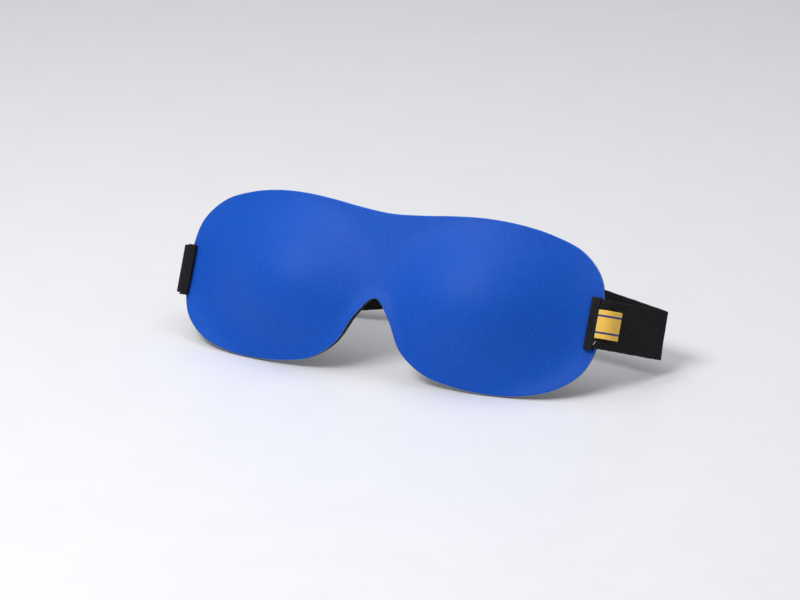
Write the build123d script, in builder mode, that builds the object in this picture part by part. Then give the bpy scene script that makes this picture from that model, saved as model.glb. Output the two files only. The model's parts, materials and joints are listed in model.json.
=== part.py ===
"""Contoured sleep mask with an elastic head strap, modelled as it rests on a table.

Millimetres, +Z up.  +X runs along the face chord, +Y points to the wearer's side
(behind the mask), the domed front looks towards -Y and leans back by LEAN degrees.
The mask stands on the lower edges of its two lobes, and the strap adjuster behind it
carries the rest of the weight.

Mask coordinates (x, y, z): x along the chord, z up the leaned face, y out of its back.
W() turns them into part coordinates.
"""
from math import atan2, cos, exp, hypot, pi, radians, sin, sqrt, tan
import os

from build123d import *

os.makedirs("parts", exist_ok=True)

# ---------------------------------------------------------------- driving dimensions
LEAN = 22.0              # the face leans back by this much as it rests
OX, OY, OZ = -8.03, -43.07, 0.51   # puts the origin under the middle of the whole part

COVER_T = 0.6            # bonded knit of the front
LINING_T = 0.6           # bonded knit of the wearer's side
EDGE_T = 2.0             # pressed edge of the laminate
RING_T = 5.4             # extra foam in the cushion ring round each eye
DOME_H = 15.0            # how far each eye dome stands out of the flange
DOME_X, DOME_Z = 56.0, 44.0       # centre of an eye dome
DOME_A, DOME_B = 52.0, 42.0       # its half width and half height

STRAP_W = 25.0           # elastic webbing
STRAP_T = 1.4
TAPE_T = 0.5             # tape folded over each strap end
TAPE_W = 4.8
THREAD = 0.4

LABEL_L, LABEL_H, LABEL_T = 9.5, 14.5, 0.35

TAPE_GAP = 0.32          # the tape stands this far off the cover
BAR_R = 1.1              # bars of the ring and the slider
RING_LEN, RING_H = 9.4, 31.0
SLIDER_LEN, SLIDER_H = 15.0, 31.4

# half of the cut outline, from the middle of the top edge to the top of the nose notch
OUTLINE = [
    (0.0, 82.9), (16.8, 84.1), (33.4, 86.1), (50.2, 87.3), (67.0, 86.7), (83.5, 83.9),
    (99.2, 78.0), (110.4, 66.3), (114.4, 50.1), (114.3, 33.3), (109.3, 17.4), (96.9, 6.7),
    (81.0, 1.6), (64.3, 0.1), (47.5, 1.0), (31.2, 4.8), (17.9, 14.6), (9.6, 29.5), (0.0, 39.5),
]

# smooth wrap of the flange: coefficients of (x/115)^i * ((z-43)/43)^j
WRAP = {
    (0, 0): -6.73, (0, 1): 3.85, (0, 2): 2.49, (0, 3): -1.38,
    (2, 0): 23.16, (2, 1): -7.84, (2, 2): -9.09, (2, 3): -0.92,
    (4, 0): 4.96, (4, 1): 21.68, (4, 2): 5.79, (4, 3): 14.28,
    (6, 0): -7.58, (6, 1): -14.0, (6, 2): -2.82, (6, 3): -10.2,
}

S, C = sin(radians(LEAN)), cos(radians(LEAN))


def W(x, y, z):
    """Mask coordinates to part coordinates."""
    return Vector(OX + x, OY + y * C + z * S, OZ + z * C - y * S)


def D(x, y, z):
    """A direction in mask coordinates, as a direction of the part."""
    return Vector(x, y * C + z * S, z * C - y * S)


FACE = Plane(origin=W(0, 0, 0), x_dir=(1, 0, 0), z_dir=D(0, -1, 0))   # local y is z of the mask


def flange(x, z):
    u, v = min(abs(x), 122.0) / 115.0, (min(max(z, -5.0), 91.0) - 43.0) / 43.0
    return sum(k * u ** i * v ** j for (i, j), k in WRAP.items())


def eye_r(x, z):
    return hypot((abs(x) - DOME_X) / DOME_A, (z - DOME_Z) / DOME_B)


def front(x, z):
    r = eye_r(x, z)
    dome = DOME_H * (1.0 - r * r) ** 1.6 if r < 1.0 else 0.0
    return flange(x, z) - dome


def thickness(x, z):
    r = eye_r(x, z)
    s = min(1.0, max(0.0, (0.75 - r) / 0.35))
    return EDGE_T + RING_T * exp(-(((r - 0.74) / 0.21) ** 2)) + 1.0 * s * s * (3 - 2 * s)


def back(x, z):
    return front(x, z) + thickness(x, z)


def sheet(height, x0=-122.0, x1=122.0, z0=-5.0, z1=91.0, nx=33, nz=15):
    """A smooth face through height(x, z)."""
    rows = []
    for j in range(nz):
        z = z0 + (z1 - z0) * j / (nz - 1)
        rows.append([W(x, height(x, z), z) for x in (x0 + (x1 - x0) * i / (nx - 1) for i in range(nx))])
    return Face.make_surface_from_array_of_points(rows, tol=0.03, min_deg=3)


def slab(height, depth, **region):
    """The sheet, swept straight back by depth."""
    return Solid.extrude(sheet(height, **region), D(0, depth, 0))


FULL_OUTLINE = OUTLINE + [(-x, z) for x, z in reversed(OUTLINE[1:-1])]

# ---------------------------------------------------------------- the laminated mask body
with BuildPart() as cutter:
    with BuildSketch(FACE):
        with BuildLine():
            Spline(FULL_OUTLINE, periodic=True)
        make_face()
    extrude(amount=60, both=True)


def cut_sheet(height):
    """The sheet through height(x, z), cut to the outline."""
    return (sheet(height) & cutter.part).faces()[0]


cover_face = cut_sheet(front)
core_face = cut_sheet(lambda x, z: front(x, z) + COVER_T)
lining_face = cut_sheet(lambda x, z: back(x, z) - LINING_T)
behind_core = slab(lambda x, z: back(x, z) - LINING_T, 60.0)

with BuildPart() as outer_cover:
    extrude(cover_face, amount=COVER_T, dir=D(0, 1, 0))
outer_cover.part.label = "outer_cover"

with BuildPart() as foam_core:
    extrude(core_face, amount=40.0, dir=D(0, 1, 0))
    add(behind_core, mode=Mode.SUBTRACT)
foam_core.part.label = "foam_core"

with BuildPart() as inner_lining:
    extrude(lining_face, amount=LINING_T, dir=D(0, 1, 0))
inner_lining.part.label = "inner_lining"


# ---------------------------------------------------------------- strap helpers
def rounded(nodes, step=1.2):
    """Points along a polyline of (x, y, z_bottom, top_shift, radius), corners rounded."""
    out = [nodes[0][:4]]
    for a, b, c in zip(nodes, nodes[1:], nodes[2:]):
        ux, uy = a[0] - b[0], a[1] - b[1]
        vx, vy = c[0] - b[0], c[1] - b[1]
        lu, lv = hypot(ux, uy), hypot(vx, vy)
        ux, uy, vx, vy = ux / lu, uy / lu, vx / lv, vy / lv
        turn = pi - abs(atan2(ux * vy - uy * vx, ux * vx + uy * vy))
        t = b[4] * tan(turn / 2)
        p0 = (b[0] + ux * t, b[1] + uy * t)
        p1 = (b[0] + vx * t, b[1] + vy * t)
        hx, hy = ux + vx, uy + vy
        h = hypot(hx, hy)
        k = hypot(t, b[4]) / h
        cx, cy = b[0] + hx * k, b[1] + hy * k
        a0 = atan2(p0[1] - cy, p0[0] - cx)
        a1 = atan2(p1[1] - cy, p1[0] - cx)
        da = (a1 - a0 + pi) % (2 * pi) - pi
        n = max(3, int(abs(da) * 180 / pi / 14))
        f0, f1 = t / lu, t / lv
        for i in range(n + 1):
            w = i / n
            q = [b[m] + (1 - w) ** 2 * f0 * (a[m] - b[m]) + w ** 2 * f1 * (c[m] - b[m]) for m in (2, 3)]
            out.append((cx + b[4] * cos(a0 + da * w), cy + b[4] * sin(a0 + da * w), q[0], q[1]))
    out.append(nodes[-1][:4])
    dense = [out[0]]
    for p, q in zip(out, out[1:]):
        d = hypot(q[0] - p[0], q[1] - p[1])
        n = max(1, round(d / step))
        for i in range(1, n + 1):
            w = i / n
            dense.append(tuple(p[m] + (q[m] - p[m]) * w for m in range(4)))
    clean = [dense[0]]
    for p in dense[1:]:
        if hypot(p[0] - clean[-1][0], p[1] - clean[-1][1]) > 0.25:
            clean.append(p)
    return clean


def ribbon(nodes, width=STRAP_W, thick=STRAP_T):
    """Webbing of even thickness that follows the path, its width up the leaned face."""
    path = rounded(nodes)
    left, right = [], []
    for i, p in enumerate(path):
        a, b = path[max(0, i - 1)], path[min(len(path) - 1, i + 1)]
        tx, ty = b[0] - a[0], b[1] - a[1]
        n = hypot(tx, ty)
        nx, ny = -ty / n * thick / 2, tx / n * thick / 2
        left.append((p[0] + nx, p[1] + ny, p[2], p[3]))
        right.append((p[0] - nx, p[1] - ny, p[2], p[3]))

    def side(edge):
        return [[W(x, y + s * f, z + width * f) for x, y, z, s in edge] for f in (0.0, 0.5, 1.0)]

    def face(grid):
        return Face.make_surface_from_array_of_points(grid, tol=0.01)

    lg, rg = side(left), side(right)
    faces = [face(lg), face(rg)]
    e = [f.edges() for f in faces]

    def near(edges, point):
        return min(edges, key=lambda q: (q.position_at(0.5) - point).length)

    def mid(grid, which):
        n = len(grid[0]) // 2
        return {"bottom": grid[0][n], "top": grid[2][n], "start": grid[1][0], "end": grid[1][-1]}[which]

    for which in ("bottom", "top", "start", "end"):
        faces.append(Face.make_surface_from_curves(near(e[0], mid(lg, which)), near(e[1], mid(rg, which))))
    return Solid(Shell(faces))


def tape(x_in, x_out, z0, z1, side):
    """Tape folded over a strap end, lying on the front of the temple."""
    lo, hi = sorted((side * x_in, side * x_out))
    fold = sorted((side * x_in, side * (x_in + TAPE_T)))
    reg = dict(x0=lo - 2, x1=hi + 2, z0=z0 - 3, z1=z1 + 3, nx=7, nz=15)
    a, b = (fold[1], hi + 3) if side > 0 else (lo - 3, fold[0])
    with BuildPart() as gap:
        with BuildSketch(FACE):
            with Locations(((a + b) / 2, (z0 + z1) / 2)):
                Rectangle(b - a, z1 - z0 + 4)
        extrude(amount=60, both=True)
        add(slab(lambda x, z: front(x, z) - TAPE_GAP - TAPE_T - STRAP_T, STRAP_T, **reg), mode=Mode.INTERSECT)
    with BuildPart() as body:
        with BuildSketch(FACE):
            with Locations(((lo + hi) / 2, (z0 + z1) / 2)):
                RectangleRounded(hi - lo, z1 - z0, 0.6)
        extrude(amount=60, both=True)
        add(slab(lambda x, z: front(x, z) - TAPE_GAP - 2 * TAPE_T - STRAP_T, 2 * TAPE_T + STRAP_T, **reg), mode=Mode.INTERSECT)
        add(gap.part, mode=Mode.SUBTRACT)
    return body.part


def strap_root(x_in, x_out, z0, side):
    """The end of the webbing inside the tape, following the front of the temple."""
    lo, hi = sorted((side * (x_in + TAPE_T), side * x_out))
    reg = dict(x0=lo - 2, x1=hi + 2, z0=z0 - 3, z1=z0 + STRAP_W + 3, nx=7, nz=15)
    with BuildPart() as body:
        with BuildSketch(FACE) as sk:
            with Locations(((lo + hi) / 2, z0 + STRAP_W / 2)):
                Rectangle(hi - lo, STRAP_W)
        extrude(amount=60, both=True)
        add(slab(lambda x, z: front(x, z) - TAPE_GAP - TAPE_T - STRAP_T + 0.08, STRAP_T - 0.16, **reg), mode=Mode.INTERSECT)
    return body.part


# ---------------------------------------------------------------- right strap end
R_IN, R_OUT = 108.1, 112.9       # the tape, from its fold to its open edge
R_Z = 30.9                       # lower edge of the webbing there
R_END = 114.6                    # the webbing leaves the mask here
SPLIT_GAP = 0.3                  # the fixed and the moving webbing meet with this gap


def on_front(x, z):
    return front(x, z) - TAPE_GAP - TAPE_T - STRAP_T / 2


def start_node(side, x, zb):
    y0, y1 = on_front(side * x, zb), on_front(side * x, zb + STRAP_W)
    return (side * x, y0, zb, y1 - y0)


def toward(a, b, d):
    """The plan point d from a towards b."""
    n = hypot(b[0] - a[0], b[1] - a[1])
    return a[0] + (b[0] - a[0]) / n * d, a[1] + (b[1] - a[1]) / n * d


right_tape = tape(R_IN, R_OUT, R_Z - 1.1, R_Z + STRAP_W + 0.7, 1)
with BuildPart() as right_binding:
    add(right_tape)
right_binding.part.label = "right_binding"

R_BEND = (117.6, 13.6)
TURN = (136.3, 52.4)             # the webbing folds back on itself here
SPLIT_R = toward(R_BEND, TURN, 17.0)
right_root = strap_root(R_IN, R_END, R_Z, 1)
right_run = ribbon([start_node(1, R_END - 0.02, R_Z) + (0,), R_BEND + (R_Z - 0.1, 1.6, 7.0),
                    SPLIT_R + (R_Z - 0.7, 0.8, 0)])
with BuildPart() as strap_right_run:
    add(right_root)
    add(right_run)
strap_right_run.part.label = "strap_right_run"

LABEL_OFF = STRAP_T / 2 + LABEL_T / 2 + 0.42
label_start = (R_OUT + 0.1, on_front(R_OUT + 0.1, 36.2) - LABEL_OFF)
label_rise = on_front(R_OUT + 0.1, 36.2 + LABEL_H) - on_front(R_OUT + 0.1, 36.2)
label_band = ribbon([label_start + (36.2, label_rise, 0), (119.37, 11.09, 36.2, 1.0, 7.5),
                     (119.37 + 0.434 * 7.6, 11.29 + 0.901 * 7.6, 36.0, 0.95, 0)],
                    width=LABEL_H, thick=LABEL_T)
with BuildPart() as label:
    add(label_band)
label.part.label = "label"

# ---------------------------------------------------------------- left strap end
L_IN, L_OUT = 111.4, 115.9
L_Z = 27.0
left_tape = tape(L_IN, L_OUT, L_Z - 0.9, L_Z + STRAP_W + 0.6, -1)
with BuildPart() as left_binding:
    add(left_tape)
left_binding.part.label = "left_binding"

RING_U = (0.648, 0.761)          # plan direction from the tab towards the long webbing
RING_N = (-0.761, 0.648)         # plan direction out of the loop
RING_C = (-103.6, 44.4)
RING_Z = 28.2                    # lower edge of the webbing at the ring
BAR_GAP = 7.0


def at_ring(bar, u, n):
    k = -BAR_GAP / 2 if bar == 1 else BAR_GAP / 2
    return (RING_C[0] + RING_U[0] * (k + u) + RING_N[0] * n, RING_C[1] + RING_U[1] * (k + u) + RING_N[1] * n)


TAB_IN = at_ring(1, -9.0, 0.95)
L_FOLD = (-119.0, 18.8)
SPLIT_L = toward(L_FOLD, TAB_IN, 6.5)
left_root = strap_root(L_IN, 116.0, L_Z, -1)
left_run = ribbon([start_node(-1, 115.98, L_Z) + (0,), (-119.0, 13.3, L_Z, 1.8, 1.7),
                   L_FOLD + (L_Z + 0.1, 1.4, 2.2), SPLIT_L + (L_Z + 0.3, 1.0, 0)])
with BuildPart() as strap_left_tab:
    add(left_root)
    add(left_run)
strap_left_tab.part.label = "strap_left_tab"

tab_band = ribbon([toward(L_FOLD, TAB_IN, 6.5 + SPLIT_GAP) + (L_Z + 0.3, 1.0, 0), TAB_IN + (RING_Z, 0, 5.0),
                   at_ring(1, 2.1, 2.3) + (RING_Z, 0, 1.95), at_ring(1, 2.1, -2.3) + (RING_Z, 0, 1.95),
                   at_ring(1, -8.0, -0.95) + (RING_Z, 0, 0)])
with BuildPart() as tab_loop:
    add(tab_band)
tab_loop.part.label = "tab_loop"

# ---------------------------------------------------------------- long webbing
RUN_A = (-38.0, 68.2, 31.3)      # the stretch that the slider travels is straight
RUN_B = (-88.0, 64.2, 31.3)
run_len = hypot(RUN_A[0] - RUN_B[0], RUN_A[1] - RUN_B[1])
RUN_U = ((RUN_A[0] - RUN_B[0]) / run_len, (RUN_A[1] - RUN_B[1]) / run_len)
RUN_N = (-RUN_U[1], RUN_U[0])    # out of the loop, away from the mask
RUN_RISE = (RUN_A[2] - RUN_B[2]) / run_len


def on_run(s, off):
    """Plan point and webbing height, s along the straight stretch from the ring's end."""
    return (RUN_B[0] + RUN_U[0] * s + RUN_N[0] * off, RUN_B[1] + RUN_U[1] * s + RUN_N[1] * off,
            RUN_B[2] + RUN_RISE * s)


back_band = ribbon([toward(R_BEND, TURN, 17.0 + SPLIT_GAP) + (R_Z - 0.7, 0.8, 0), TURN + (29.6, 0, 2.6),
                    (98.0, 59.4, 36.0, 0, 70.0), (60.0, 67.0, 38.6, 0, 110.0), (24.0, 70.0, 38.8, 0, 150.0),
                    (-10.0, 70.6, 37.2, 0, 150.0), RUN_A + (0, 60.0), on_run(3.0, 0) + (0, 0)])
with BuildPart() as strap_back_run:
    add(back_band)
strap_back_run.part.label = "strap_back_run"

LAYER = STRAP_T + 0.35
SLIDER_S = 22.0                  # rest place of the slider on the straight stretch
TAIL_S = SLIDER_S - 12.0
ring_band = ribbon([on_run(3.0, 0) + (0, 0), on_run(0, 0) + (0, 8.0),
                    at_ring(2, 9.5, -0.95) + (RING_Z, 0, 6.0), at_ring(2, -2.1, -2.3) + (RING_Z, 0, 1.95),
                    at_ring(2, -2.1, 2.3) + (RING_Z, 0, 1.95), at_ring(2, 9.0, 1.05) + (RING_Z, 0, 8.0),
                    on_run(-0.8, LAYER) + (0, 7.0), on_run(TAIL_S - SPLIT_GAP, LAYER) + (0, 0)])
with BuildPart() as strap_ring_run:
    add(ring_band)
strap_ring_run.part.label = "strap_ring_run"

# ---------------------------------------------------------------- ring
ring_plane = Plane(origin=W(RING_C[0], RING_C[1], RING_Z + STRAP_W / 2),
                   x_dir=D(RING_U[0], RING_U[1], 0), z_dir=D(RING_N[0], RING_N[1], 0))
with BuildPart() as ring:
    with BuildSketch(ring_plane):
        RectangleRounded(BAR_GAP + 2 * BAR_R, RING_H, 1.9)
        RectangleRounded(BAR_GAP - 2 * BAR_R, RING_H - 4.6, 0.8, mode=Mode.SUBTRACT)
    extrude(amount=BAR_R, both=True)
    fillet(ring.faces().sort_by(Axis(ring_plane.origin, ring_plane.z_dir))[-1].edges(), 0.6)
    fillet(ring.faces().sort_by(Axis(ring_plane.origin, ring_plane.z_dir))[0].edges(), 0.6)
ring.part.label = "ring"

# ---------------------------------------------------------------- slider
sx, sy, sz = on_run(SLIDER_S, 0)
slide_dir = D(RUN_U[0], RUN_U[1], RUN_RISE).normalized()
slide_out = D(RUN_N[0], RUN_N[1], 0)
slider_plane = Plane(origin=W(sx, sy, sz + STRAP_W / 2), x_dir=slide_dir, z_dir=slide_out)
END_BAR_Z = -(STRAP_T / 2 + 0.3 + BAR_R)
MID_BAR_Z = STRAP_T / 2 + 0.3 + STRAP_T + 0.25 + BAR_R
rail_plane = Plane(origin=slider_plane.origin, x_dir=slide_dir, z_dir=-slider_plane.y_dir)   # local y is outwards
RAIL_W = 2.4
with BuildPart() as slider:
    for v in (-SLIDER_H / 2, SLIDER_H / 2 - RAIL_W):
        with BuildSketch(rail_plane.offset(-v - RAIL_W)):
            with BuildLine() as rail_line:
                rail_arc = ThreePointArc((-6.4, END_BAR_Z), (0, MID_BAR_Z), (6.4, END_BAR_Z))
            SlotArc(rail_arc, 2 * BAR_R)
        extrude(amount=RAIL_W)
    with BuildSketch(rail_plane.offset(-SLIDER_H / 2 + 0.4)):
        with Locations((-6.4, END_BAR_Z), (6.4, END_BAR_Z), (0, MID_BAR_Z)):
            Circle(BAR_R)
    extrude(amount=SLIDER_H - 0.8)
slider.part.label = "slider"

tail_band = ribbon([on_run(TAIL_S, LAYER) + (0, 0), on_run(SLIDER_S + 2.1, LAYER) + (0, 1.8),
                    on_run(SLIDER_S + 2.1, MID_BAR_Z + BAR_R + 0.8 + STRAP_T / 2) + (0, 1.8),
                    on_run(TAIL_S + 2.0, LAYER + STRAP_T + 0.1) + (0, 0)])
with BuildPart() as strap_tail:
    add(tail_band)
strap_tail.part.label = "strap_tail"

# ---------------------------------------------------------------- thread
def row_of_stitches(points, direction, out, length, proud=0.25):
    """Short thread bars standing a little proud of the webbing."""
    with BuildPart() as rows:
        for p in points:
            pl = Plane(origin=p, x_dir=direction, z_dir=out)
            with BuildSketch(pl):
                SlotOverall(length, THREAD)
            extrude(amount=proud)
    return rows.part


tail_stitch_bars = row_of_stitches(
    [W(*on_run(TAIL_S + 3.6, LAYER * 2 + STRAP_T / 2 + 0.62)[:2], on_run(TAIL_S + 3.6, 0)[2] + 3.0 + 1.0 * i)
     for i in range(20)], slide_dir, slide_out, 2.2, 0.45)
with BuildPart() as tail_stitch:
    add(tail_stitch_bars)
tail_stitch.part.label = "tail_stitch"

tab_stitch_bars = row_of_stitches(
    [W(*at_ring(1, -6.6, 0.95 + 0.45 + STRAP_T / 2), RING_Z + 3.0 + 1.0 * i) for i in range(20)],
    D(RING_U[0], RING_U[1], 0), D(RING_N[0], RING_N[1], 0), 2.2, 0.45)
with BuildPart() as tab_stitch:
    add(tab_stitch_bars)
tab_stitch.part.label = "tab_stitch"


def binding_stitches(side, x, z0, n, pitch):
    pts = [(side * x, z0 + pitch * i) for i in range(n)]
    out = D(0.2 * side, -1, 0).normalized()
    return row_of_stitches([W(px, front(px, pz) - TAPE_GAP - 2 * TAPE_T - STRAP_T - 0.26, pz) for px, pz in pts],
                           D(0, 0.12, 1).normalized(), out, 1.9, 0.22)


right_thread = binding_stitches(1, R_OUT - 1.1, R_Z + 0.4, 10, 2.7)
with BuildPart() as right_stitch:
    add(right_thread)
right_stitch.part.label = "right_stitch"
left_thread = binding_stitches(-1, L_OUT - 1.1, L_Z + 0.4, 10, 2.6)
with BuildPart() as left_stitch:
    add(left_thread)
left_stitch.part.label = "left_stitch"

# ---------------------------------------------------------------- write the pieces
for piece in (outer_cover, foam_core, inner_lining, right_binding, left_binding, right_stitch, left_stitch,
              label, strap_right_run, strap_left_tab, tab_loop, tab_stitch, ring, strap_back_run,
              strap_ring_run, slider, strap_tail, tail_stitch):
    export_step(piece.part, "parts/" + piece.part.label + ".step")

whole = Compound(children=[p.part for p in (outer_cover, foam_core, inner_lining, right_binding, left_binding,
                                            label, strap_right_run, strap_left_tab, tab_loop, ring,
                                            strap_back_run, strap_ring_run, slider, strap_tail)])
box = whole.bounding_box()
print("box", box.min, box.max, "offset to centre", -(box.min.X + box.max.X) / 2, -(box.min.Y + box.max.Y) / 2)
for piece in (outer_cover, foam_core, inner_lining, slider, ring, strap_back_run, strap_ring_run, strap_right_run,
              strap_left_tab, tab_loop, strap_tail, label):
    b = piece.part.bounding_box()
    print(piece.part.label, "solids", len(piece.part.solids()), "volume", round(piece.part.volume, 1),
          "lowest", round(b.min.Z, 2), "y", round(b.min.Y, 1), round(b.max.Y, 1))
print("slider centre", slider_plane.origin)
print("slide axis", slide_dir, "label hinge", W(label_start[0], label_start[1], 36.2), D(0, 1.0 / LABEL_H, 1).normalized())
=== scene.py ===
import json
from math import atan2, cos, exp, hypot, pi, radians, sin, sqrt, tan
import bpy
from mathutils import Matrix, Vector, noise

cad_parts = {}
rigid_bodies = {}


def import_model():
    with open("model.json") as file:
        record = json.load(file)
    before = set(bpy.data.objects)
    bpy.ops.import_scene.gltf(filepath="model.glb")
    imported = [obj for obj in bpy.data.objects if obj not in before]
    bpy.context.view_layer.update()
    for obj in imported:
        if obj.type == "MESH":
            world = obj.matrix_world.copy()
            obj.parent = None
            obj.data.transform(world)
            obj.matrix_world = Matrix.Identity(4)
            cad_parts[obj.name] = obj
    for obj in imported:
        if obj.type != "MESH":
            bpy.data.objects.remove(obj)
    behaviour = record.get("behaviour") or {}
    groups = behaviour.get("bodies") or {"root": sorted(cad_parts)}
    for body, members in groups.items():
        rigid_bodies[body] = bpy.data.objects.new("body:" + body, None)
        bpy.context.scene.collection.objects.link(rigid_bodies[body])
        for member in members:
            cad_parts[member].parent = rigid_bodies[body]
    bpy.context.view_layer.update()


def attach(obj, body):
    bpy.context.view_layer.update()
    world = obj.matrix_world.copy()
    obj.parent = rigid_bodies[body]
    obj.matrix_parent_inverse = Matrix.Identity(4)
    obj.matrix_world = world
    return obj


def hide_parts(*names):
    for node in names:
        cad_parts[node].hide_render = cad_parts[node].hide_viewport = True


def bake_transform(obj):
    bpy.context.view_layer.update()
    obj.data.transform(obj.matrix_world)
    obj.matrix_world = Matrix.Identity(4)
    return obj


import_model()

# ------------------------------------------------------------------ the same geometry rules as the CAD
LEAN = 22.0
OX, OY, OZ = -8.03, -43.07, 0.51
COVER_T, LINING_T, EDGE_T, RING_T = 0.6, 0.6, 2.0, 5.4
DOME_H, DOME_X, DOME_Z, DOME_A, DOME_B = 15.0, 56.0, 44.0, 52.0, 42.0
STRAP_W, STRAP_T, TAPE_T, LABEL_H, LABEL_T = 25.0, 1.4, 0.5, 14.5, 0.35
BAR_R, BAR_GAP, TAPE_GAP = 1.1, 7.0, 0.32
OUTLINE = [
    (0.0, 82.9), (16.8, 84.1), (33.4, 86.1), (50.2, 87.3), (67.0, 86.7), (83.5, 83.9),
    (99.2, 78.0), (110.4, 66.3), (114.4, 50.1), (114.3, 33.3), (109.3, 17.4), (96.9, 6.7),
    (81.0, 1.6), (64.3, 0.1), (47.5, 1.0), (31.2, 4.8), (17.9, 14.6), (9.6, 29.5), (0.0, 39.5),
]
WRAP = {
    (0, 0): -6.73, (0, 1): 3.85, (0, 2): 2.49, (0, 3): -1.38,
    (2, 0): 23.16, (2, 1): -7.84, (2, 2): -9.09, (2, 3): -0.92,
    (4, 0): 4.96, (4, 1): 21.68, (4, 2): 5.79, (4, 3): 14.28,
    (6, 0): -7.58, (6, 1): -14.0, (6, 2): -2.82, (6, 3): -10.2,
}
S, C = sin(radians(LEAN)), cos(radians(LEAN))
MM = 0.001


def W(x, y, z):
    return Vector(((OX + x) * MM, (OY + y * C + z * S) * MM, (OZ + z * C - y * S) * MM))


def D(x, y, z):
    return Vector((x, y * C + z * S, z * C - y * S))


def flange(x, z):
    u, v = min(abs(x), 122.0) / 115.0, (min(max(z, -5.0), 91.0) - 43.0) / 43.0
    return sum(k * u ** i * v ** j for (i, j), k in WRAP.items())


def eye_r(x, z):
    return hypot((abs(x) - DOME_X) / DOME_A, (z - DOME_Z) / DOME_B)


def front(x, z):
    r = hypot((abs(x) - DOME_X) / (DOME_A + 4.5), (z - DOME_Z) / (DOME_B + 4.5))
    dome = DOME_H * (1.0 - r * r) ** 2.1 if r < 1.0 else 0.0
    return flange(x, z) - dome


def thickness(x, z):
    r = eye_r(x, z)
    s = min(1.0, max(0.0, (0.75 - r) / 0.35))
    return EDGE_T + RING_T * exp(-(((r - 0.74) / 0.21) ** 2)) + 1.0 * s * s * (3 - 2 * s)


def lip(x, z):
    """The pressed edge of the nose notch turns a little towards the front."""
    edge = 39.5 * exp(-((abs(x) / 18.2) ** 1.85))
    slope = edge * 1.85 / 18.2 * (abs(x) / 18.2) ** 0.85
    d = max(0.0, (z - edge) / sqrt(1.0 + slope * slope))
    return 1.3 * exp(-((d / 3.4) ** 2)) * exp(-((x / 30.0) ** 6))


def relief(x, z):
    """Soft unevenness of moulded cloth over foam."""
    n = noise.noise(Vector((x * 0.021, z * 0.026, 1.7)))
    m = noise.noise(Vector((x * 0.06, z * 0.07, 8.1)))
    return 0.55 * n + 0.14 * m


def vfront(x, z):
    return front(x, z) - lip(x, z) + relief(x, z)


# ------------------------------------------------------------------ outline as two curves over x
def catmull(pts, per=14):
    out = []
    ext = [(-pts[1][0], pts[1][1])] + pts + [(-pts[-2][0], pts[-2][1])]
    for i in range(1, len(ext) - 2):
        p0, p1, p2, p3 = ext[i - 1:i + 3]
        for k in range(per):
            t = k / per
            out.append(tuple(0.5 * (2 * p1[m] + (p2[m] - p0[m]) * t + (2 * p0[m] - 5 * p1[m] + 4 * p2[m] - p3[m]) * t * t
                                    + (3 * p1[m] - p0[m] - 3 * p2[m] + p3[m]) * t ** 3) for m in (0, 1)))
    out.append(pts[-1])
    return out


CURVE = catmull(OUTLINE)
IMAX = max(range(len(CURVE)), key=lambda i: CURVE[i][0])
XMAX = CURVE[IMAX][0]
TOP = CURVE[:IMAX + 1]
BOT = CURVE[IMAX:][::-1]


def at(curve, x):
    lo, hi = 0, len(curve) - 1
    while hi - lo > 1:
        mid = (lo + hi) // 2
        if curve[mid][0] <= x:
            lo = mid
        else:
            hi = mid
    a, b = curve[lo], curve[hi]
    return a[1] + (b[1] - a[1]) * (x - a[0]) / max(1e-9, b[0] - a[0])


BOT_X = sorted(BOT)
NU, NV = 220, 84


def columns(inset=0.0):
    cols = []
    for i in range(NU + 1):
        s = sin(pi / 2 * (-1 + 2 * i / NU))
        s = s * (1 - 0.0) 
        x = s * XMAX
        ax = min(abs(x), XMAX - 1e-6)
        zt, zb = at(TOP, ax), at(BOT_X, ax)
        if abs(s) > 0.99999:
            zt = zb = CURVE[IMAX][1]
        xx = x * (1 - inset / XMAX)
        cols.append((xx, zb + inset, zt - inset))
    return cols


def link(obj):
    bpy.context.scene.collection.objects.link(obj)
    return obj


def make(name, verts, faces, mats, face_mats=None, smooth=True, uvs=None):
    me = bpy.data.meshes.new(name)
    me.from_pydata([tuple(v) for v in verts], [], faces)
    for m in mats:
        me.materials.append(m)
    if face_mats:
        me.polygons.foreach_set("material_index", face_mats)
    me.polygons.foreach_set("use_smooth", [smooth] * len(me.polygons))
    if uvs:
        lay = me.uv_layers.new(name="UVMap")
        for lp in me.loops:
            lay.data[lp.index].uv = uvs[lp.vertex_index]
    me.validate()
    me.update()
    return link(bpy.data.objects.new(name, me))


# ------------------------------------------------------------------ materials
def new_mat(name):
    m = bpy.data.materials.new(name)
    m.use_nodes = True
    nt = m.node_tree
    b = nt.nodes["Principled BSDF"]
    return m, nt, b


def node(nt, kind, **props):
    n = nt.nodes.new(kind)
    for k, v in props.items():
        if k in n.inputs:
            n.inputs[k].default_value = v
        else:
            setattr(n, k, v)
    return n


def ramp(nt, src, stops):
    r = nt.nodes.new("ShaderNodeValToRGB")
    r.color_ramp.elements[0].position, r.color_ramp.elements[0].color = stops[0][0], (*stops[0][1], 1)
    r.color_ramp.elements[1].position, r.color_ramp.elements[1].color = stops[-1][0], (*stops[-1][1], 1)
    for p, c in stops[1:-1]:
        e = r.color_ramp.elements.new(p)
        e.color = (*c, 1)
    nt.links.new(src, r.inputs[0])
    return r.outputs[0]


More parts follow.
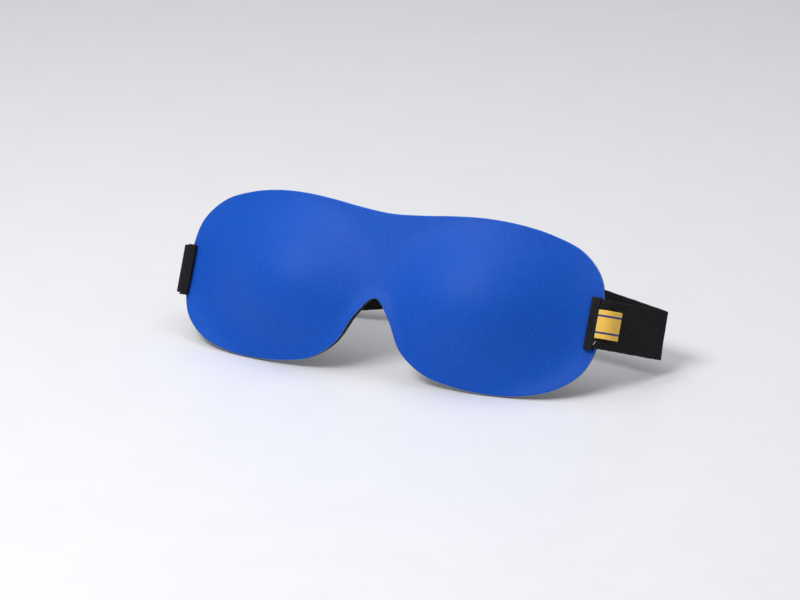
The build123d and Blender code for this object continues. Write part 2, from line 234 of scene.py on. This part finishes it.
def knit(name, dark, mid, light, rough=0.85, sheen=0.5, tint=(0.5, 0.7, 1.0), grain=1.0, bump=0.25, spec=0.25, blotch=0.3):
    m, nt, b = new_mat(name)
    tc = node(nt, "ShaderNodeTexCoord")
    mp = nt.nodes.new("ShaderNodeMapping")
    mp.inputs["Rotation"].default_value = (radians(LEAN), 0, 0)
    nt.links.new(tc.outputs["Object"], mp.inputs["Vector"])
    st = nt.nodes.new("ShaderNodeMapping")
    st.inputs["Scale"].default_value = (1.0, 0.8, 0.7)
    nt.links.new(mp.outputs[0], st.inputs["Vector"])
    fine = node(nt, "ShaderNodeTexNoise", Scale=1500.0 * grain, Detail=3.0, Roughness=0.7)
    nt.links.new(st.outputs[0], fine.inputs["Vector"])
    broad = node(nt, "ShaderNodeTexNoise", Scale=190.0, Detail=4.0, Roughness=0.6)
    nt.links.new(st.outputs[0], broad.inputs["Vector"])
    rib = node(nt, "ShaderNodeTexWave", Scale=300.0 * grain, Distortion=2.4, Detail=2.0)
    rib.wave_type, rib.bands_direction = "BANDS", "X"
    rib.inputs["Detail Scale"].default_value = 2.0
    nt.links.new(mp.outputs[0], rib.inputs["Vector"])
    mix = node(nt, "ShaderNodeMath", operation="MULTIPLY_ADD")
    nt.links.new(broad.outputs["Fac"], mix.inputs[0])
    mix.inputs[1].default_value = blotch
    nt.links.new(fine.outputs["Fac"], mix.inputs[2])
    add = node(nt, "ShaderNodeMath", operation="MULTIPLY_ADD")
    nt.links.new(rib.outputs["Fac"], add.inputs[0])
    add.inputs[1].default_value = 0.10
    nt.links.new(mix.outputs[0], add.inputs[2])
    col = ramp(nt, add.outputs[0], [(0.30 + blotch * 0.4, dark), (0.56 + blotch * 0.5, mid), (0.88 + blotch * 0.6, light)])
    nt.links.new(col, b.inputs["Base Color"])
    bm = node(nt, "ShaderNodeBump", Strength=bump, Distance=0.0004)
    nt.links.new(add.outputs[0], bm.inputs["Height"])
    nt.links.new(bm.outputs[0], b.inputs["Normal"])
    b.inputs["Roughness"].default_value = rough
    b.inputs["Specular IOR Level"].default_value = spec
    b.inputs["Sheen Weight"].default_value = sheen
    b.inputs["Sheen Roughness"].default_value = 0.45
    b.inputs["Sheen Tint"].default_value = (*tint, 1)
    return m


BLUE = knit("blue_knit", (0.0008, 0.058, 0.39), (0.0014, 0.078, 0.49), (0.008, 0.135, 0.66), rough=0.55, spec=0.22,
            sheen=0.03, tint=(0.2, 0.5, 1.0), grain=1.5, blotch=0.10, bump=0.3)
# cut edge of the blue cloth: its fuzzy fibres plus a painted highlight, coloured far lighter than the face to stand in
# for light catching the rim
BLUE_CUT_EDGE_HIGHLIGHT = knit("blue_cut_edge", (0.02, 0.12, 0.45), (0.09, 0.26, 0.7), (0.35, 0.55, 0.95), sheen=0.8, grain=1.6, bump=0.6)
LINING = knit("black_knit", (0.006, 0.006, 0.008), (0.014, 0.014, 0.017), (0.035, 0.035, 0.04), sheen=0.4, tint=(0.6, 0.6, 0.7))
FOAM = knit("foam_edge", (0.004, 0.004, 0.006), (0.01, 0.01, 0.014), (0.03, 0.03, 0.036), rough=0.95, sheen=0.1, grain=0.6, bump=0.6)


def webbing(name, dark, light, su, sv, rough=0.6, bump=0.5, peak_glint=0.06):
    """Woven elastic: raised picks in staggered rows, from the band's own length and width; the colour is painted shade
    in the grooves, lighter on the raised picks, with a painted glint at their tops.
    """
    m, nt, b = new_mat(name)
    uv = node(nt, "ShaderNodeUVMap")
    uv.uv_map = "UVMap"
    sep = nt.nodes.new("ShaderNodeSeparateXYZ")
    nt.links.new(uv.outputs[0], sep.inputs[0])

    def math(op, a, c=None, d=None):
        n = node(nt, "ShaderNodeMath", operation=op)
        for i, s in enumerate((a, c, d)):
            if s is None:
                continue
            if isinstance(s, (int, float)):
                n.inputs[i].default_value = s
            else:
                nt.links.new(s, n.inputs[i])
        return n.outputs[0]

    row = math("FLOOR", math("MULTIPLY", sep.outputs[1], sv))
    half = math("MULTIPLY", math("MODULO", row, 2.0), 0.5)
    a = math("SINE", math("MULTIPLY", math("ADD", math("MULTIPLY", sep.outputs[0], su), half), 2 * pi))
    c = math("SINE", math("MULTIPLY", math("MULTIPLY", sep.outputs[1], sv), pi))
    h = math("MULTIPLY", math("MULTIPLY_ADD", a, 0.5, 0.5), math("POWER", math("ABSOLUTE", c), 0.7))
    nz = node(nt, "ShaderNodeTexNoise", Scale=2600.0, Detail=3.0, Roughness=0.7)
    tc = node(nt, "ShaderNodeTexCoord")
    nt.links.new(tc.outputs["Object"], nz.inputs["Vector"])
    hh = math("MULTIPLY_ADD", nz.outputs["Fac"], 0.35, h)
    # painted shade and glint: colour runs from dark in the grooves to light on the raised picks, and the top stop adds
    # a painted glint
    col = ramp(nt, hh, [(0.15, dark), (0.85, light), (1.0, tuple(min(1, q + peak_glint) for q in light))])
    nt.links.new(col, b.inputs["Base Color"])
    bm = node(nt, "ShaderNodeBump", Strength=bump, Distance=0.00035)
    nt.links.new(hh, bm.inputs["Height"])
    nt.links.new(bm.outputs[0], b.inputs["Normal"])
    b.inputs["Roughness"].default_value = rough
    b.inputs["Specular IOR Level"].default_value = 0.12
    b.inputs["Sheen Weight"].default_value = 0.02
    b.inputs["Sheen Roughness"].default_value = 0.5
    return m


# UV runs in millimetres: u along the band, v across it
# these bands' colours carry painted groove shade and a painted glint on the picks
WEB = webbing("black_elastic", (0.002, 0.0018, 0.002), (0.017, 0.015, 0.018), 0.62, 0.8, rough=0.7, bump=0.9, peak_glint=0.02)
TAPE = webbing("black_satin_tape", (0.003, 0.003, 0.004), (0.011, 0.011, 0.014), 2.4, 2.6, rough=0.45, bump=0.2, peak_glint=0.01)
THREADM = webbing("black_thread", (0.008, 0.008, 0.009), (0.03, 0.03, 0.033), 3.0, 2.0, rough=0.5, bump=0.3)


def label_mat():
    """Woven ribbon, plain amber with two narrow navy stripes along its ends."""
    m, nt, b = new_mat("amber_woven_label")
    uv = node(nt, "ShaderNodeUVMap")
    uv.uv_map = "UVMap"
    sep = nt.nodes.new("ShaderNodeSeparateXYZ")
    nt.links.new(uv.outputs[0], sep.inputs[0])
    div = node(nt, "ShaderNodeMath", operation="DIVIDE")
    nt.links.new(sep.outputs[1], div.inputs[0])
    div.inputs[1].default_value = LABEL_H
    r = nt.nodes.new("ShaderNodeValToRGB")
    r.color_ramp.interpolation = "CONSTANT"
    amber, navy = (0.98, 0.60, 0.075, 1), (0.010, 0.022, 0.19, 1)
    els = r.color_ramp.elements
    els[0].position, els[0].color = 0.0, amber
    els[1].position, els[1].color = 0.17, navy
    for p, c in ((0.24, amber), (0.76, navy), (0.83, amber)):
        e = els.new(p)
        e.color = c
    nt.links.new(div.outputs[0], r.inputs[0])
    wv = node(nt, "ShaderNodeTexWave", Scale=1.1, Distortion=0.4, Detail=1.0)
    wv.bands_direction = "DIAGONAL"
    nt.links.new(uv.outputs[0], wv.inputs["Vector"])
    w2 = node(nt, "ShaderNodeTexNoise", Scale=3.0, Detail=3.0)
    nt.links.new(uv.outputs[0], w2.inputs["Vector"])
    mul = node(nt, "ShaderNodeMixRGB", blend_type="MULTIPLY")
    mul.inputs[0].default_value = 0.35
    nt.links.new(r.outputs[0], mul.inputs[1])
    nt.links.new(ramp(nt, w2.outputs["Fac"], [(0.3, (0.6, 0.6, 0.6)), (0.7, (1, 1, 1))]), mul.inputs[2])
    nt.links.new(mul.outputs[0], b.inputs["Base Color"])
    bm = node(nt, "ShaderNodeBump", Strength=0.35, Distance=0.0002)
    nt.links.new(wv.outputs["Fac"], bm.inputs["Height"])
    nt.links.new(bm.outputs[0], b.inputs["Normal"])
    b.inputs["Roughness"].default_value = 0.55
    b.inputs["Sheen Weight"].default_value = 0.2
    return m


LABELM = label_mat()


def plastic(name):
    m, nt, b = new_mat(name)
    nz = node(nt, "ShaderNodeTexNoise", Scale=900.0, Detail=4.0, Roughness=0.6)
    tc = node(nt, "ShaderNodeTexCoord")
    nt.links.new(tc.outputs["Object"], nz.inputs["Vector"])
    nt.links.new(ramp(nt, nz.outputs["Fac"], [(0.3, (0.008, 0.008, 0.009)), (0.7, (0.02, 0.02, 0.022))]), b.inputs["Base Color"])
    rr = node(nt, "ShaderNodeMapRange")
    rr.inputs["To Min"].default_value, rr.inputs["To Max"].default_value = 0.3, 0.48
    nt.links.new(nz.outputs["Fac"], rr.inputs["Value"])
    nt.links.new(rr.outputs[0], b.inputs["Roughness"])
    bm = node(nt, "ShaderNodeBump", Strength=0.15, Distance=0.0001)
    nt.links.new(nz.outputs["Fac"], bm.inputs["Height"])
    nt.links.new(bm.outputs[0], b.inputs["Normal"])
    return m


PLASTIC = plastic("black_moulded_plastic")


# ------------------------------------------------------------------ mask body
def layer(name, near, far, mats, inset=0.0, rim_mat=0, round_rim=0.0, rim_steps=3):
    """A closed sheet between two heights, with a rounded cut edge."""
    cols = columns(inset)
    verts, faces, fm, uvs = [], [], [], []
    n_col, n_row = len(cols), NV + 1

    def grid(h):
        base = len(verts)
        for x, zb, zt in cols:
            for j in range(n_row):
                t = j / NV
                t = 0.5 - 0.5 * cos(pi * t) * (0.35) - 0.65 * (0.5 - t) if False else t
                z = zb + (zt - zb) * t
                verts.append(W(x, h(x, z), z))
                uvs.append((x, z))
        return base

    a = grid(near)
    b = grid(far)
    for i in range(n_col - 1):
        for j in range(NV):
            q = [a + i * n_row + j, a + i * n_row + j + 1, a + (i + 1) * n_row + j + 1, a + (i + 1) * n_row + j]
            faces.append(q[::-1]); fm.append(0)
            q = [k - a + b for k in q]
            faces.append(q); fm.append(0)
    loop = [i * n_row for i in range(n_col)] + [(n_col - 1) * n_row + j for j in range(1, n_row)]
    loop += [i * n_row + NV for i in range(n_col - 2, -1, -1)] + [j for j in range(NV - 1, 0, -1)]
    ring = [verts[a + k] for k in loop]
    n = len(loop)
    rows = [[a + k for k in loop]]
    for s in range(1, rim_steps):
        t = s / rim_steps
        row = []
        for i, k in enumerate(loop):
            p, q = verts[a + k], verts[b + k]
            tan_ = (ring[(i + 1) % n] - ring[i - 1])
            out = tan_.cross(q - p)
            if out.length > 1e-12:
                out.normalize()
            row.append(len(verts))
            verts.append(p.lerp(q, t) - out * round_rim * MM * sin(pi * t))
            uvs.append(uvs[a + k])
        rows.append(row)
    rows.append([b + k for k in loop])
    for r0, r1 in zip(rows, rows[1:]):
        for i in range(n):
            j = (i + 1) % n
            f = [r0[i], r0[j], r1[j], r1[i]]
            if len({tuple(round(c, 9) for c in verts[k]) for k in f}) < 3:
                continue
            faces.append(f[::-1]); fm.append(rim_mat)
    return make(name, verts, faces, mats, fm, uvs=uvs)


def finish_layer(o, keep_out=None):
    import bmesh
    bm = bmesh.new()
    bm.from_mesh(o.data)
    bmesh.ops.remove_doubles(bm, verts=bm.verts, dist=2e-7)
    bmesh.ops.dissolve_degenerate(bm, dist=1e-7, edges=bm.edges)
    bmesh.ops.recalc_face_normals(bm, faces=bm.faces)
    bm.to_mesh(o.data)
    bm.free()
    return o


def near_notch(x, z):
    return lip(x, z)


# the rim faces take the lighter cut-edge material, which carries a painted highlight
cover = finish_layer(layer("cover_visual", vfront, lambda x, z: vfront(x, z) + COVER_T, [BLUE, BLUE_CUT_EDGE_HIGHLIGHT], rim_mat=1,
                           round_rim=0.18, rim_steps=4))
foam = finish_layer(layer("foam_visual", lambda x, z: vfront(x, z) + COVER_T + 0.02,
                          lambda x, z: front(x, z) + thickness(x, z) - LINING_T - 0.02, [FOAM], inset=0.35, round_rim=0.0))


def vback(x, z):
    return front(x, z) + thickness(x, z) + 0.5 * relief(x + 31.0, z)


def vlining(x, z):
    return max(vback(x, z), vfront(x, z) + EDGE_T)


lining = finish_layer(layer("lining_visual", lambda x, z: vlining(x, z) - LINING_T, vlining, [LINING], inset=0.1, round_rim=0.15))


# ------------------------------------------------------------------ bands
def rounded(nodes, step=0.8):
    out = [nodes[0][:4]]
    for a, b, c in zip(nodes, nodes[1:], nodes[2:]):
        ux, uy = a[0] - b[0], a[1] - b[1]
        vx, vy = c[0] - b[0], c[1] - b[1]
        lu, lv = hypot(ux, uy), hypot(vx, vy)
        ux, uy, vx, vy = ux / lu, uy / lu, vx / lv, vy / lv
        turn = pi - abs(atan2(ux * vy - uy * vx, ux * vx + uy * vy))
        t = b[4] * tan(turn / 2)
        p0 = (b[0] + ux * t, b[1] + uy * t)
        p1 = (b[0] + vx * t, b[1] + vy * t)
        hx, hy = ux + vx, uy + vy
        h = hypot(hx, hy)
        k = hypot(t, b[4]) / h
        cx, cy = b[0] + hx * k, b[1] + hy * k
        a0 = atan2(p0[1] - cy, p0[0] - cx)
        a1 = atan2(p1[1] - cy, p1[0] - cx)
        da = (a1 - a0 + pi) % (2 * pi) - pi
        n = max(4, int(abs(da) * 180 / pi / 8))
        f0, f1 = t / lu, t / lv
        for i in range(n + 1):
            w = i / n
            q = [b[m] + (1 - w) ** 2 * f0 * (a[m] - b[m]) + w ** 2 * f1 * (c[m] - b[m]) for m in (2, 3)]
            out.append((cx + b[4] * cos(a0 + da * w), cy + b[4] * sin(a0 + da * w), q[0], q[1]))
    out.append(nodes[-1][:4])
    dense = [out[0]]
    for p, q in zip(out, out[1:]):
        d = hypot(q[0] - p[0], q[1] - p[1])
        n = max(1, round(d / step))
        for i in range(1, n + 1):
            w = i / n
            dense.append(tuple(p[m] + (q[m] - p[m]) * w for m in range(4)))
    clean = [dense[0]]
    for p in dense[1:]:
        if hypot(p[0] - clean[-1][0], p[1] - clean[-1][1]) > 0.12:
            clean.append(p)
    return clean


def band(name, path, width, thick, mat, rows=16, edge=0.3, ripple=0.0, seed=0.0):
    """Closed webbing along plan points (x, y, z_bottom, top_shift), with rounded selvedges."""
    n = len(path)
    verts, faces, uvs, fm = [], [], [], []
    run = [0.0]
    for p, q in zip(path, path[1:]):
        run.append(run[-1] + hypot(q[0] - p[0], q[1] - p[1]))
    prof = []                     # across the section: (height fraction in mm, offset fraction)
    e = edge
    inner = [(e + (width - 2 * e) * k / rows) for k in range(rows + 1)]
    prof += [(v, 0.5) for v in inner]
    prof += [(width - e * 0.3, 0.36), (width, 0.0), (width - e * 0.3, -0.36)]
    prof += [(v, -0.5) for v in reversed(inner)]
    prof += [(e * 0.3, -0.36), (0.0, 0.0), (e * 0.3, 0.36)]
    m = len(prof)
    for i, p in enumerate(path):
        a, b = path[max(0, i - 1)], path[min(n - 1, i + 1)]
        tx, ty = b[0] - a[0], b[1] - a[1]
        l = hypot(tx, ty)
        nx, ny = -ty / l, tx / l
        for v, o in prof:
            w = ripple * noise.noise(Vector((run[i] * 0.09 + seed, v * 0.12, 3.3)))
            off = o * thick + w
            hz = 0.12 * noise.noise(Vector((run[i] * 0.25 + seed, 7.7, 0.0))) if o == 0.0 else 0.0
            verts.append(W(p[0] + nx * off, p[1] + p[3] * v / width + ny * off, p[2] + v + hz))
            uvs.append((run[i], v))
    for i in range(n - 1):
        for k in range(m):
            k2 = (k + 1) % m
            faces.append([i * m + k, i * m + k2, (i + 1) * m + k2, (i + 1) * m + k])
            fm.append(0)
    faces.append([k for k in range(m)][::-1]); fm.append(0)
    faces.append([(n - 1) * m + k for k in range(m)]); fm.append(0)
    o = make(name, verts, faces, [mat], fm, uvs=uvs)
    import bmesh
    bm = bmesh.new(); bm.from_mesh(o.data)
    bmesh.ops.recalc_face_normals(bm, faces=bm.faces)
    bm.to_mesh(o.data); bm.free()
    return o


def on_front(x, z, off=0.0):
    return front(x, z) - TAPE_GAP - TAPE_T - STRAP_T / 2 - off


R_IN, R_OUT, R_Z, R_END = 108.1, 112.9, 30.9, 114.6
R_BEND, TURN = (117.6, 13.6), (136.3, 52.4)
L_IN, L_OUT, L_Z = 111.4, 115.9, 27.0
L_FOLD = (-119.0, 18.8)
RING_U, RING_N, RING_C, RING_Z = (0.648, 0.761), (-0.761, 0.648), (-103.6, 44.4), 28.2
RUN_A, RUN_B = (-38.0, 68.2, 31.3), (-88.0, 64.2, 31.3)
run_len = hypot(RUN_A[0] - RUN_B[0], RUN_A[1] - RUN_B[1])
RUN_U = ((RUN_A[0] - RUN_B[0]) / run_len, (RUN_A[1] - RUN_B[1]) / run_len)
RUN_N = (-RUN_U[1], RUN_U[0])


def toward(a, b, d):
    n = hypot(b[0] - a[0], b[1] - a[1])
    return a[0] + (b[0] - a[0]) / n * d, a[1] + (b[1] - a[1]) / n * d


def start_node(side, x, zb):
    y0, y1 = on_front(side * x, zb), on_front(side * x, zb + STRAP_W)
    return (side * x, y0, zb, y1 - y0)


def at_ring(bar, u, n):
    k = -BAR_GAP / 2 if bar == 1 else BAR_GAP / 2
    return (RING_C[0] + RING_U[0] * (k + u) + RING_N[0] * n, RING_C[1] + RING_U[1] * (k + u) + RING_N[1] * n)


def on_run(s, off):
    return (RUN_B[0] + RUN_U[0] * s + RUN_N[0] * off, RUN_B[1] + RUN_U[1] * s + RUN_N[1] * off, RUN_B[2])


LAYER = STRAP_T + 0.35
SLIDER_S = 22.0
TAIL_S = SLIDER_S - 12.0
MID_BAR_Z = STRAP_T / 2 + 0.3 + STRAP_T + 0.25 + BAR_R

# the right stretch: from inside the tape round the fold
full = rounded([start_node(1, R_IN + 0.7, R_Z) + (0,), start_node(1, R_END - 0.3, R_Z) + (9.0,), R_BEND + (R_Z - 0.1, 1.6, 6.0),
                TURN + (29.6, 0, 2.6), (98.0, 59.4, 36.0, 0, 70.0), (60.0, 67.0, 38.6, 0, 110.0),
                (24.0, 70.0, 38.8, 0, 150.0), (-10.0, 70.6, 37.2, 0, 150.0), RUN_A + (0, 60.0), on_run(0, 0) + (0, 8.0),
                at_ring(2, 9.5, -0.95) + (RING_Z, 0, 6.0), at_ring(2, -2.1, -2.3) + (RING_Z, 0, 1.95),
                at_ring(2, -2.1, 2.3) + (RING_Z, 0, 1.95), at_ring(2, 9.0, 1.05) + (RING_Z, 0, 8.0),
                on_run(-0.8, LAYER) + (0, 7.0), on_run(1.2, LAYER) + (0, 0)])
cut = min(range(len(full)), key=lambda i: hypot(full[i][0] - (TURN[0] - 3.4), full[i][1] - (TURN[1] + 0.6)))
strap_a = band("strap_right_visual", full[:cut + 1], STRAP_W, STRAP_T, WEB, ripple=0.25)
strap_b = band("strap_back_visual", full[cut:], STRAP_W, STRAP_T, WEB, ripple=0.0)
tail = band("strap_tail_visual", rounded([on_run(1.2, LAYER) + (0, 0), on_run(SLIDER_S + 2.1, LAYER) + (0, 1.8),
            on_run(SLIDER_S + 2.1, MID_BAR_Z + BAR_R + 0.8 + STRAP_T / 2) + (0, 1.8),
            on_run(TAIL_S + 2.0, LAYER + STRAP_T + 0.1) + (0, 0)]), STRAP_W, STRAP_T, WEB)
tab = band("strap_left_visual", rounded([start_node(-1, L_IN + 0.7, L_Z) + (0,), (-119.0, 13.3, L_Z, 1.8, 1.7),
           L_FOLD + (L_Z + 0.1, 1.4, 2.2), at_ring(1, -9.0, 0.95) + (RING_Z, 0, 5.0),
           at_ring(1, 2.1, 2.3) + (RING_Z, 0, 1.95), at_ring(1, 2.1, -2.3) + (RING_Z, 0, 1.95),
           at_ring(1, -8.0, -0.95) + (RING_Z, 0, 0)]), STRAP_W, STRAP_T, WEB)


def tape_piece(name, x_in, x_out, z0, z1, side, seed):
    """Tape folded round the webbing's end, softly rolled."""
    rows, sect = 44, []
    verts, faces, uvs = [], [], []
    legs = 10
    for j in range(rows + 1):
        v = z0 + (z1 - z0) * j / rows
        endr = min(1.0, min(v - z0, z1 - v) / 0.5)
        pts = []
        for k in range(legs + 1):
            x = x_out + (x_in + 0.9 - x_out) * k / legs
            pts.append((x, -(2 * TAPE_T + STRAP_T) + TAPE_T / 2))
        for k in range(1, 9):
            a = pi * k / 9
            r = (TAPE_T + STRAP_T) / 2
            pts.append((x_in + 0.9 - 0.65 * sin(a), -(TAPE_T + STRAP_T / 2) - r * cos(a)))
        for k in range(legs + 1):
            x = x_in + 0.9 + (x_out - x_in - 0.9) * k / legs
            pts.append((x, -TAPE_T / 2))
        n = len(pts)
        outer, inner = [], []
        for i, (x, y) in enumerate(pts):
            a, b = pts[max(0, i - 1)], pts[min(n - 1, i + 1)]
            tx, ty = b[0] - a[0], b[1] - a[1]
            l = hypot(tx, ty)
            nx, ny = ty / l, -tx / l
            puff = 0.16 * noise.noise(Vector((v * 0.22 + seed, x * 0.5, 0.4))) if i <= legs else 0.0
            t = TAPE_T / 2 * (0.55 + 0.45 * endr)
            outer.append((x - nx * -t * -1, y - ny * -t * -1 + puff * endr))
            inner.append((x + nx * t * -1 * -1, y + ny * t * -1 * -1))
        ring = outer + inner[::-1]
        jag = 0.10 * noise.noise(Vector((v * 0.9 + seed, 3.0, 0.0)))
        for i, (x, y) in enumerate(ring):
            xs = side * (x + (jag if i in (0, len(ring) - 1) else 0.0))
            yy = front(xs, v) - TAPE_GAP + y
            verts.append(W(xs, yy, v))
            uvs.append((v, x * 1.0 + y))
    m = len(verts) // (rows + 1)
    for j in range(rows):
        for k in range(m):
            k2 = (k + 1) % m
            faces.append([j * m + k, j * m + k2, (j + 1) * m + k2, (j + 1) * m + k])
    n = m // 2
    for base, flip in ((0, False), (rows * m, True)):
        for k in range(n - 1):
            f = [base + k, base + k + 1, base + m - 2 - k, base + m - 1 - k]
            faces.append(f if flip else f[::-1])
    o = make(name, verts, faces, [TAPE], uvs=uvs)
    import bmesh
    bm = bmesh.new(); bm.from_mesh(o.data)
    bmesh.ops.recalc_face_normals(bm, faces=bm.faces)
    bm.to_mesh(o.data); bm.free()
    return o


tape_r = tape_piece("tape_right_visual", R_IN, R_OUT, R_Z - 1.1, R_Z + STRAP_W + 0.7, 1, 0.0)
tape_l = tape_piece("tape_left_visual", L_IN, L_OUT, L_Z - 0.9, L_Z + STRAP_W + 0.6, -1, 5.0)


# ------------------------------------------------------------------ label
LABEL_OFF = STRAP_T / 2 + LABEL_T / 2 + 0.42
LABEL_RISE = on_front(R_OUT + 0.1, 36.2 + LABEL_H) - on_front(R_OUT + 0.1, 36.2)
lab = band("label_visual", rounded([(R_OUT + 0.1, on_front(R_OUT + 0.1, 36.2) - LABEL_OFF, 36.2, LABEL_RISE, 0),
           (119.37, 11.09, 36.2, 1.0, 7.5),
           (119.37 + 0.434 * 7.6, 11.29 + 0.901 * 7.6, 36.0, 0.95, 0)], step=0.5),
           LABEL_H, LABEL_T, LABELM, rows=18, edge=0.12)


# ------------------------------------------------------------------ thread
def threads(name, items, mat, radius=0.19):
    """Each stitch is a small arched tube: (centre, along, out, length)."""
    verts, faces, uvs = [], [], []
    seg, k = 8, 8
    for c, along, out, length in items:
        side = along.cross(out).normalized()
        base = len(verts)
        for i in range(seg + 1):
            t = i / seg
            bow = sin(pi * t)
            r = radius * MM * (0.35 + 0.65 * min(1, bow * 2.2))
            p = c + along * (t - 0.5) * length * MM + out * (0.18 * bow - 0.05) * MM
            for j in range(k):
                a = 2 * pi * j / k
                verts.append(p + side * cos(a) * r + out * sin(a) * r)
                uvs.append((t * length, j))
        for i in range(seg):
            for j in range(k):
                j2 = (j + 1) % k
                faces.append([base + i * k + j, base + (i + 1) * k + j, base + (i + 1) * k + j2, base + i * k + j2])
        faces.append([base + j for j in range(k)])
        faces.append([base + seg * k + j for j in reversed(range(k))])
    return make(name, verts, faces, [mat], uvs=uvs)


def tape_stitches(name, side, x, z0, n, pitch):
    items = []
    for i in range(n):
        z = z0 + pitch * i
        xs = side * (x + 0.08 * noise.noise(Vector((i * 1.7, 2.0, side))))
        along = (W(xs, front(xs, z + 1), z + 1) - W(xs, front(xs, z), z)).normalized()
        out = D(0.2 * side, -1, 0).normalized()
        items.append((W(xs, front(xs, z) - TAPE_GAP - 2 * TAPE_T - STRAP_T - 0.02, z), along, out, 1.9))
    return threads(name, items, THREADM)


st_r = tape_stitches("stitch_right_visual", 1, R_OUT - 1.1, R_Z + 0.4, 10, 2.7)
st_l = tape_stitches("stitch_left_visual", -1, L_OUT - 1.1, L_Z + 0.4, 10, 2.6)


def bar_tack(name, centre, rowdir, out, n, pitch):
    items = []
    for i in range(n):
        tilt = (D(0, 0, 1) * 0.18 * (1 if i % 2 else -1) + rowdir).normalized()
        items.append((centre(i), tilt, out, 2.3))
    return threads(name, items, THREADM, radius=0.22)


run_dir, run_out = D(RUN_U[0], RUN_U[1], 0), D(RUN_N[0], RUN_N[1], 0)
tack_t = bar_tack("stitch_tail_visual", lambda i: W(*on_run(TAIL_S + 3.6, LAYER * 2 + STRAP_T / 2 + 0.62)[:2], RUN_B[2] + 3.0 + i), run_dir, run_out, 20, 1.0)
tack_b = bar_tack("stitch_tab_visual", lambda i: W(*at_ring(1, -6.6, 0.95 + 0.45 + STRAP_T / 2), RING_Z + 3.0 + i),
                  D(RING_U[0], RING_U[1], 0), D(RING_N[0], RING_N[1], 0), 20, 1.0)

# a loose end of pale thread under the label
WHITE = webbing("pale_thread", (0.6, 0.6, 0.58), (0.85, 0.85, 0.83), 3.0, 2.0, rough=0.7, bump=0.3)
wz = 33.6
wc = W(R_OUT + 0.7, front(R_OUT, wz) - TAPE_GAP - TAPE_T - STRAP_T - 0.45, wz)
loose = threads("thread_end_visual", [(wc, D(0.55, -0.1, 1.0).normalized(), D(0.2, -1, 0).normalized(), 2.3)], WHITE, radius=0.16)

# ------------------------------------------------------------------ who carries what
for o, body, nodes, slot in (
        (cover, "mask", ["outer_cover"], "cover_blue"), (foam, "mask", ["foam_core"], "foam"),
        (lining, "mask", ["inner_lining"], "lining_black"), (tape_r, "mask", ["right_binding"], "tape_black"),
        (tape_l, "mask", ["left_binding"], "tape_black"), (st_r, "mask", ["right_stitch"], "thread_black"),
        (st_l, "mask", ["left_stitch"], "thread_black"), (strap_a, "mask", ["strap_right_run"], "webbing"),
        (strap_b, "strap", ["strap_back_run", "strap_ring_run"], "webbing"),
        (tab, "mask", ["strap_left_tab", "tab_loop"], "webbing"), (tack_b, "strap", ["tab_stitch"], "thread_black"),
        (tail, "strap", ["strap_tail"], "webbing"), (tack_t, "adjuster", ["tail_stitch"], "thread_black"),
        (lab, "tag", ["label"], "label_yellow"), (loose, "mask", [], "thread_black")):
    if o not in (strap_a, tab, tail):
        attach(o, body)
    if nodes:
        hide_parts(*nodes)
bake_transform(strap_a)
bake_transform(tab)
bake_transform(tail)

for n in ("ring", "slider"):
    o = bpy.data.objects.get(n) or next(q for q in bpy.data.objects if q.name.startswith(n))
    if not o.material_slots:
        o.data.materials.append(PLASTIC)
    for s in o.material_slots:
        s.material = PLASTIC

# ------------------------------------------------------------------ stage, light, camera
m, nt, b = new_mat("pale_table")
nz = node(nt, "ShaderNodeTexNoise", Scale=30.0, Detail=3.0)
tc = node(nt, "ShaderNodeTexCoord")
nt.links.new(tc.outputs["Object"], nz.inputs["Vector"])
nt.links.new(ramp(nt, nz.outputs["Fac"], [(0.3, (0.86, 0.86, 0.885)), (0.7, (0.88, 0.88, 0.90))]), b.inputs["Base Color"])
b.inputs["Roughness"].default_value = 0.32
b.inputs["Specular IOR Level"].default_value = 0.3
R = 6.0
floor = make("table_top", [(-R, -R, 0), (R, -R, 0), (R, R, 0), (-R, R, 0)], [(0, 1, 2, 3)], [m], smooth=False)

scene = bpy.context.scene
world = bpy.data.worlds.new("studio")
world.use_nodes = True
world.node_tree.nodes["Background"].inputs[0].default_value = (0.93, 0.94, 1.0, 1)
world.node_tree.nodes["Background"].inputs[1].default_value = 0.31
scene.world = world


def area(name, loc, target, size, power, color=(1, 1, 1)):
    l = bpy.data.lights.new(name, "AREA")
    l.shape = "RECTANGLE"
    l.size, l.size_y = size
    l.energy = power
    l.color = color
    o = link(bpy.data.objects.new(name, l))
    o.location = loc
    o.rotation_euler = (Vector(target) - Vector(loc)).to_track_quat("-Z", "Y").to_euler()
    return o


area("top_soft", (-0.10, 0.20, 1.2), (0, 0, 0.03), (1.3, 0.9), 6.5)
area("front_key", (-0.30, -0.80, 1.10), (0, 0, 0.04), (0.7, 0.4), 11.5)

PSI, P, F = radians(23.5), radians(20.6), 4423.0
DIST = F / 1.97
ox, ou = 15.6217, 38.3742
right = Vector((cos(PSI), sin(PSI), 0))
fwd_h = Vector((-sin(PSI), cos(PSI), 0))
fwd = fwd_h * cos(P) - Vector((0, 0, sin(P)))
up = fwd_h * sin(P) + Vector((0, 0, cos(P)))
origin = Vector((OX, OY, OZ))
cam_data = bpy.data.cameras.new("photo_view")
cam_data.sensor_width = 36.0
cam_data.lens = F / 800.0 * 36.0
cam_data.clip_end = 50.0
cam = link(bpy.data.objects.new("photo_view", cam_data))
cam.location = (origin + right * ox + up * ou - fwd * DIST) * MM
cam.rotation_euler = fwd.to_track_quat("-Z", "Y").to_euler()
scene.camera = cam
scene.view_settings.view_transform = "Standard"

bpy.context.view_layer.update()
